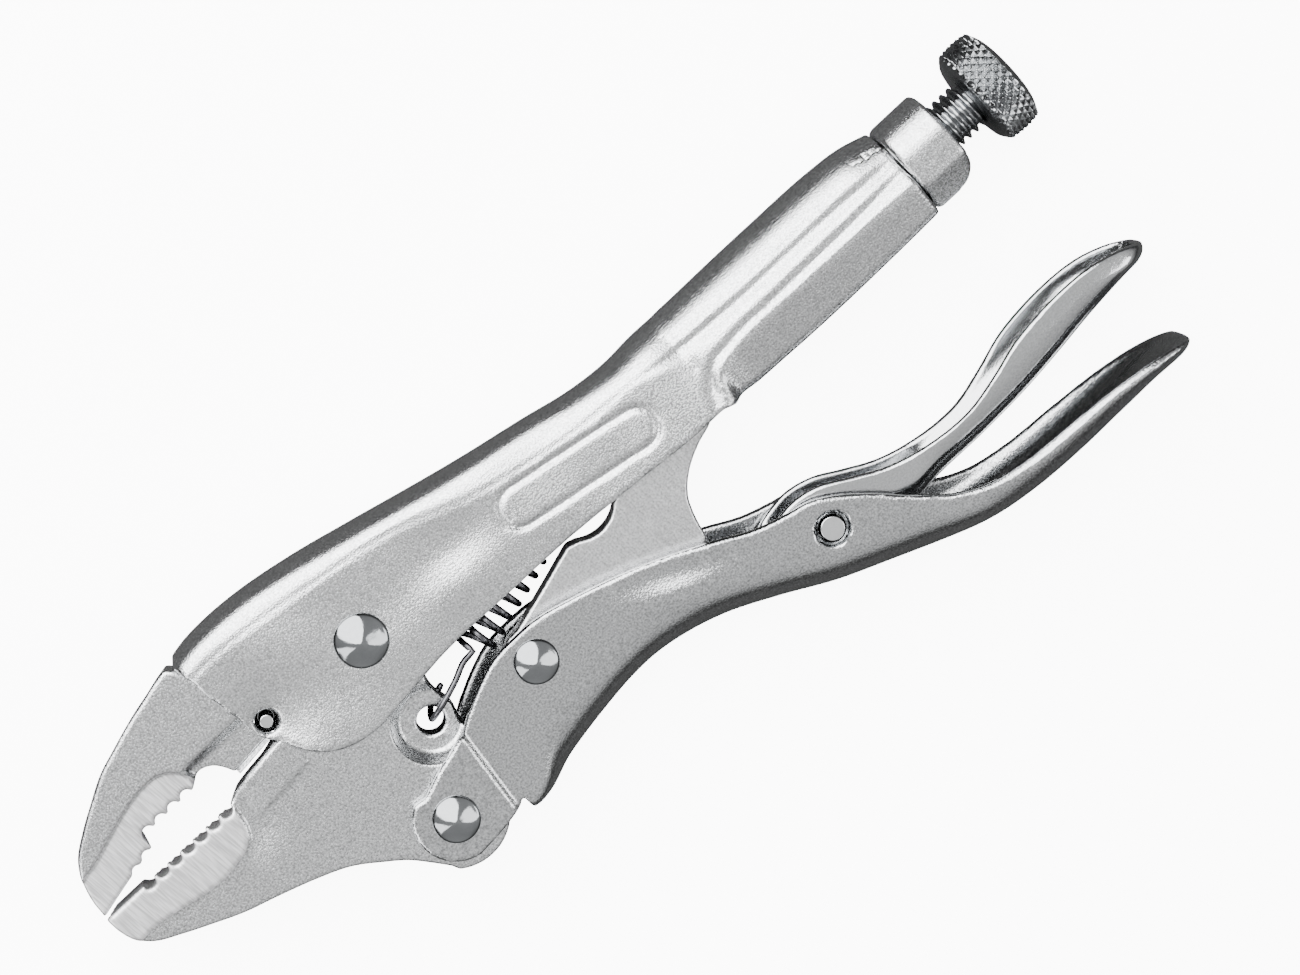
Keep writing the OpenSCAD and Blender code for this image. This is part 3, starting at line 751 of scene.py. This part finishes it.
def link_outline():
    """The toggle link seen along z."""
    return outline(
        arc(LINK_PIVOT, 4.9, 100, 270),
        curve([(24, -26.6), (34, -28), (44, -28.3), (47, -27)], 4),
        curve([(48.2, -24.5), (48.8, -21.8), (50.3, -18.2), (52.8, -15.7), (56.6, -13.6),
               (60.4, -12.2), (62.6, -9.4)], 5),
        arc(LINK_END, 3, -50, 110),
        curve([(56, -2.6), (48, -5.4), (43, -8.8), (41.8, -10.8)], 5),
        arc((37, -7.6), 5.3, -38, -128),
        curve([(31.6, -11.1), (24, -13.5), (17.5, -15.4)], 3))


def toggle_link():
    """The thick stamped link between the lower handle and the screw's tip."""
    axes, x, y, z = grid((11, -29.4, -4.8), (67, -0.6, 4.8), (0.3, 0.3, 0.3))
    flat = inside_outline(link_outline(), x, y)
    flat = drilled(flat, x, y, [(LINK_PIVOT, LINK_SHANK + PLAY)], 0.1)
    return skin(both(flat + 0.12 * (LINK_HALF - z), np.abs(z) - LINK_HALF, FORGED_EDGE), axes)


# ---- Screw, block and knob ----------------------------------------------------------------------

PITCH = 1.4111          # 18 threads to the inch
SCREW_R = 4.0
THREAD = 0.78           # the thread's height
BLOCK_Y = -4.85
BLOCK_BACK = 106.8
BLOCK_END = 115.4
KNOB_FRONT = 121.2
SCREW_TIP = 68.7


def screw_end_block():
    """The threaded block: a plug in the grip's end and a rounded head behind it."""
    axes, x, y, z = grid((98, -13.2, -7.8), (116.2, 3.6, 7.8), (0.3, 0.28, 0.28))
    u, v = np.abs(y - BLOCK_Y), np.abs(z)
    section = both(u - 7.6, v - 7.0, 3.0 + 3.4 * ramp(y, -8, -4))
    section = both(section, (v - 7.0) * 0.84 + (-7.6 - y) * 0.54, 0.4)
    long = np.maximum(BLOCK_BACK - x, x - BLOCK_END)
    rear_corner = disc(x, y, (BLOCK_END - 4.2, -8.2), 4.2)
    chop = np.where((x > BLOCK_END - 4.2) & (y < -8.2), rear_corner, -5.0)
    neck = ramp(x, 106.6, 108) * 0.35
    field = both(both(section + 0.35 - neck, chop, 0.4), long, 0.55)
    plug = both(both(u - 5.5, v - 4.7, 3.0), np.maximum(98.6 - x, x - 108), 0.3)
    field = np.minimum(field, plug)
    hole = np.hypot(y - SCREW_Y, z) - SCREW_R - 0.15
    chamfer = np.hypot(y - SCREW_Y, z) - SCREW_R - 0.9 - (x - BLOCK_END)
    field = without(without(field, hole, 0.15), chamfer, 0.15)
    return skin(field, axes)


def along_x(radius, axial, phi, start=0.0):
    """Turned points about the screw's axis."""
    return np.stack(np.broadcast_arrays(start + axial, SCREW_Y + radius * np.cos(phi),
                                        radius * np.sin(phi)), axis=-1)


def adjusting_screw():
    """The threaded rod, from its chamfered tip to inside the knob."""
    around, per_turn = 48, 10
    phi = np.linspace(0, 2 * np.pi, around, endpoint=False)[None, :]
    axial = np.arange(0, KNOB_FRONT + 5 - SCREW_TIP, PITCH / per_turn)[:, None]
    turn = (axial / PITCH - phi / (2 * np.pi)) % 1
    crest = np.clip(1.35 - 3.6 * np.abs(turn - 0.5), 0, 1)
    root = SCREW_R - THREAD
    radius = root + THREAD * crest * np.clip(axial / 1.6, 0, 1)
    radius = np.minimum(radius, root - 0.6 + axial * 1.0)
    return wrapped(along_x(radius, axial, phi, SCREW_TIP))


def triangle_wave(t):
    """0 at each whole t and 1 halfway between."""
    return 1 - 2 * np.abs(t % 1 - 0.5)


def knurled_knob():
    """A barrel with raised diamonds round it, a domed back and a smooth hub in front."""
    around, diamonds, rows = 396, 31, 1.62
    phi = np.linspace(0, 2 * np.pi, around, endpoint=False)[None, :]
    hub = rounded([(4.1, 0), (5.4, 0), (6.9, 0.35), (7.5, 0.8), (7.7, 1.3)], 0.5, 3)
    rim = rounded([(7.75, 6.5), (7.3, 6.95), (6.2, 7.4), (3.5, 7.7), (0.6, 7.7)], 0.5, 3)
    band = [(7.7 + 0.25 * math.sin(math.pi * t), 1.3 + 5.2 * t)
            for t in np.linspace(0, 1, 60)[1:-1]]
    profile = np.array([tuple(p) for p in hub] + band + [tuple(p) for p in rim])
    radius, axial = profile[:, :1], profile[:, 1:]
    wave = diamonds * phi / (2 * np.pi)
    rise = axial / rows
    pyramids = np.minimum(triangle_wave(wave + rise), triangle_wave(wave - rise))
    knurled = ramp(axial, 0.7, 1.3) * ramp(-axial, -6.9, -6.3)
    radius = radius + knurled * 0.6 * np.minimum(pyramids * 1.15, 1)
    return wrapped(along_x(radius, axial, phi, KNOB_FRONT))


# ---- Rivets and pins ----------------------------------------------------------------------------

def turned(profile, centre, lobes=0.0, around=96):
    """A pin along z. lobes raises three faint ridges on its head, as the rivet set leaves them."""
    phi = np.linspace(0, 2 * np.pi, around, endpoint=False)[None, :]
    shape = np.array([tuple(p) for p in profile])
    radius, level = shape[:, :1], shape[:, 1:]
    share = np.clip(radius / radius.max(), 0, 1)
    fade = np.maximum(0, 1 - (share / 0.92) ** 4)
    ridge = lobes * np.cos(3 * phi + 3.85) * share * fade
    points = np.stack([centre[0] + radius * np.cos(phi), centre[1] + radius * np.sin(phi),
                       level + ridge * (level > 0)], axis=-1)
    return wrapped(points)


def rivet(centre, shank, head, face, dome, flat, lobes):
    """A rivet whose head is a low bowed cone with a blunt tip. dome sets how far it stands out of
    the face, and flat is how thick its far head is."""
    peak, fall, blunt, bow = face + dome + 0.39, 0.3, 0.3, 0.021
    tops = [(r, peak - fall * math.hypot(r, blunt) - bow * r ** 2)
            for r in np.linspace(0.02, 0.9, 22) * head]
    edge = tops[-1][1]
    tops += [(0.955 * head, edge - 0.12), (0.99 * head, edge - 0.3)]
    low = -face - flat
    profile = rounded([(0.05, low), (head - 0.5, low), (head, low + 0.5), (head, -face),
                       (shank, -face), (shank, face), (head, face), (head, face + 0.05)], 0.12, 3)
    return turned(list(profile) + tops[::-1], centre, lobes)


def pin(centre, radius, half, flat, dip):
    """A pin whose round end stands in a sunk ring."""
    profile = rounded([(0.05, -half), (radius - 0.25, -half), (radius, -half + 0.25),
                       (radius, half - 0.6), (flat + 0.2, half - dip), (flat, half), (0.05, half)],
                      0.12, 3)
    return turned(profile, centre, around=64)


# ---- Spring -------------------------------------------------------------------------------------

def spring():
    """The coil and its two hooks, along the line from the lower jaw's hole to the tongue."""
    start, end = np.array(SPRING_HOLE), np.array(SPRING_TAB)
    length = float(np.linalg.norm(end - start))
    along = (end - start) / length
    sideways = np.array([-along[1], along[0]])

    def point(s, t, z):
        return tuple(start + s * along + t * sideways) + (z,)

    turns, coil_start, coil_end, coil_r, side = 9, 12.4, 34.6, 2.9, 3.0
    front = curve([point(4.6, 0.6, -side), point(1.2, 0.3, -side), point(0.5, 0, 0.6 - side),
                   point(0.3, 0, 0), point(0.5, 0, side - 0.6), point(1.2, 0, side),
                   point(7, 0, side), point(10.6, 0.3, side - 0.3), point(11.9, 0, coil_r)], 5)[:-3]
    coil = []
    for f in np.linspace(0, 1, turns * 28 + 1):
        a = math.radians(90 - 360 * turns * f)
        coil.append(point(coil_start + f * (coil_end - coil_start), coil_r * math.cos(a),
                          coil_r * math.sin(a)))
    rear = curve([point(coil_end + 0.6, -0.3, coil_r), point(coil_end + 2.2, 0.3, 2.2),
                  point(length - 1.2, 0, 1.9), point(length - 0.1, 0, 1.3), point(length, 0, 0),
                  point(length - 0.1, 0, -1.3), point(length - 1.2, 0, -1.9),
                  point(length - 3, 0, -2)], 5)[1:]
    return tube(np.vstack([front, np.array(coil), rear]), 0.5)


# ---- The tool -----------------------------------------------------------------------------------

def add(name, made, body, material):
    """Puts a shape on its body in place of its CAD node, with any ground areas marked."""
    obj = piece(name, made[0], made[1], body, name, material)
    if len(made) > 2:
        ground = obj.data.attributes.new("ground", "FLOAT", "POINT")
        ground.data.foreach_set("value", made[2](made[0]).astype(np.float32))
    return obj


add("upper_handle", upper_handle(), "upper_handle", PLATED)
add("screw_end_block", screw_end_block(), "upper_handle", PLATED)
add("fixed_jaw", fixed_jaw(), "upper_handle", FORGED)
add("lower_jaw", lower_jaw(), "lower_jaw", FORGED)
add("lower_handle", lower_handle(), "lower_handle", SATIN)
add("toggle_link", toggle_link(), "toggle_link", FORGED)
add("release_lever", release_lever(), "release_lever", LEVER)
add("adjusting_screw", adjusting_screw(), "adjusting_screw", SCREW)
add("knurled_knob", knurled_knob(), "knurled_knob", SCREW)
add("jaw_pivot_rivet",
    rivet(JAW_PIVOT, JAW_SHANK, 4.2, UPPER_HALF, 1.5, FLOOR_DROP - UPPER_HALF, 0.2),
    "upper_handle", RIVET)
add("handle_pivot_rivet",
    rivet(HANDLE_PIVOT, HANDLE_SHANK, 3.7, EAR_HALF, 1.4, FLOOR_DROP - EAR_HALF, 0.17),
    "lower_handle", RIVET)
add("link_rivet", rivet(LINK_PIVOT, LINK_SHANK, 3.5, LOWER_HALF, 1.2, 1.2, 0.16),
    "lower_handle", RIVET)
add("fixed_jaw_pin", pin(JAW_PIN, JAW_PIN_R, 5.5, 1.0, 3.5),
    "upper_handle", POLISHED)
add("release_lever_pin", pin(LEVER_PIVOT, LEVER_SHANK, 7.4, 1.85, 3.0),
    "lower_handle", POLISHED)
coil = add("tension_spring", spring(), None, WIRE)
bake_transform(coil)


# ---- Studio -------------------------------------------------------------------------------------

WHITE = 9.0
PAPER = 0.9
DARK_FLOOR = 0.06
CAMERA_LEAN = math.radians(11.5)

# How bright the studio is at each height: 0 is the horizon and 1 is overhead
SKY = [(0.0, 0.025), (0.2, 0.06), (0.4, 0.30), (0.6, 0.60), (0.85, 0.75), (1.0, 0.90)]
SKY_WAY = (0, -0.15, 1)


def seen_or_lit(tree, seen, lit):
    """One shader for what the camera sees and another for what lights and reflects."""
    path = tree.nodes.new("ShaderNodeLightPath")
    mix = tree.nodes.new("ShaderNodeMixShader")
    tree.links.new(path.outputs["Is Camera Ray"], mix.inputs["Fac"])
    tree.links.new(lit, mix.inputs[1])
    tree.links.new(seen, mix.inputs[2])
    return mix.outputs["Shader"]


def floor():
    """White paper that glows for the camera, so that it stays white under the tool; in reflections
    it is dark grey.
    """
    mesh = bpy.data.meshes.new("floor")
    mesh.from_pydata([(-3, -3, 0), (3, -3, 0), (3, 3, 0), (-3, 3, 0)], [], [(0, 1, 2, 3)])
    obj = bpy.data.objects.new("floor", mesh)
    bpy.context.scene.collection.objects.link(obj)
    mat = bpy.data.materials.new("floor_paper")
    mat.use_nodes = True
    tree = mat.node_tree
    tree.nodes.remove(tree.nodes["Principled BSDF"])
    paper, grey = (tree.nodes.new("ShaderNodeBsdfDiffuse") for _ in range(2))
    paper.inputs["Color"].default_value = (PAPER, PAPER, PAPER, 1)
    grey.inputs["Color"].default_value = (DARK_FLOOR, DARK_FLOOR, DARK_FLOOR, 1)
    glow = tree.nodes.new("ShaderNodeEmission")
    glow.inputs["Strength"].default_value = WHITE
    both_lights = tree.nodes.new("ShaderNodeAddShader")
    tree.links.new(paper.outputs[0], both_lights.inputs[0])
    tree.links.new(glow.outputs[0], both_lights.inputs[1])
    surface = seen_or_lit(tree, both_lights.outputs[0], grey.outputs[0])
    tree.links.new(surface, tree.nodes["Material Output"].inputs["Surface"])
    mesh.materials.append(mat)


def softbox(name, angle, turn, distance, size, brightness):
    """A lamp tilted from overhead by angle, towards +Y when turn is 0 and towards +X at 90."""
    light = bpy.data.lights.new(name, "AREA")
    light.shape = "RECTANGLE"
    light.size, light.size_y = size
    light.energy = brightness * math.pi * size[0] * size[1]
    obj = bpy.data.objects.new(name, light)
    bpy.context.scene.collection.objects.link(obj)
    a, b = math.radians(angle), math.radians(turn)
    away = Vector((math.sin(a) * math.sin(b), math.sin(a) * math.cos(b), math.cos(a)))
    obj.location = away * distance
    obj.rotation_euler = away.to_track_quat("Z", "Y").to_euler()


def world():
    """A studio that is grey overhead and dark towards the horizon, behind a white sweep."""
    room = bpy.data.worlds.new("studio")
    bpy.context.scene.world = room
    room.use_nodes = True
    tree = room.node_tree
    where = tree.nodes.new("ShaderNodeTexCoord")
    climb = tree.nodes.new("ShaderNodeVectorMath")
    climb.operation = "DOT_PRODUCT"
    climb.inputs[1].default_value = SKY_WAY
    shades = tree.nodes.new("ShaderNodeValToRGB")
    stops = shades.color_ramp.elements
    while len(stops) < len(SKY):
        stops.new(0.5)
    for stop, (position, grey) in zip(stops, SKY):
        stop.position = position
        stop.color = (grey, grey, grey, 1)
    tree.links.new(where.outputs["Generated"], climb.inputs[0])
    tree.links.new(climb.outputs["Value"], shades.inputs["Fac"])
    tree.links.new(shades.outputs["Color"], tree.nodes["Background"].inputs["Color"])
    sweep = tree.nodes.new("ShaderNodeBackground")
    sweep.inputs["Strength"].default_value = WHITE + 1
    surface = seen_or_lit(tree, sweep.outputs[0], tree.nodes["Background"].outputs[0])
    tree.links.new(surface, tree.nodes["World Output"].inputs["Surface"])


def camera():
    """Almost straight above, leaning towards the backs of the handles."""
    lens, sensor, field = 100.0, 36.0, 0.195
    right = Vector((0.7254, -0.6884, 0))
    target = Vector(to_row((46.8, -13.5, 3.0)))
    back = Vector((0, math.sin(CAMERA_LEAN), math.cos(CAMERA_LEAN)))
    data = bpy.data.cameras.new("camera")
    data.lens, data.sensor_width = lens, sensor
    data.clip_start, data.clip_end = 0.01, 20
    obj = bpy.data.objects.new("camera", data)
    bpy.context.scene.collection.objects.link(obj)
    side = (right - back * right.dot(back)).normalized()
    above = back.cross(side)
    obj.matrix_world = Matrix((
        (side.x, above.x, back.x, 0), (side.y, above.y, back.y, 0),
        (side.z, above.z, back.z, 0), (0, 0, 0, 1)))
    obj.location = target + back * (lens * field / sensor)
    bpy.context.scene.camera = obj


floor()
world()
softbox("key", 41.5, 0, 0.9, (0.9, 1.10), 8)
softbox("side", 52, -90, 0.9, (0.45, 0.35), 5)
softbox("back", 46, 133, 0.9, (0.3, 0.3), 5)
camera()
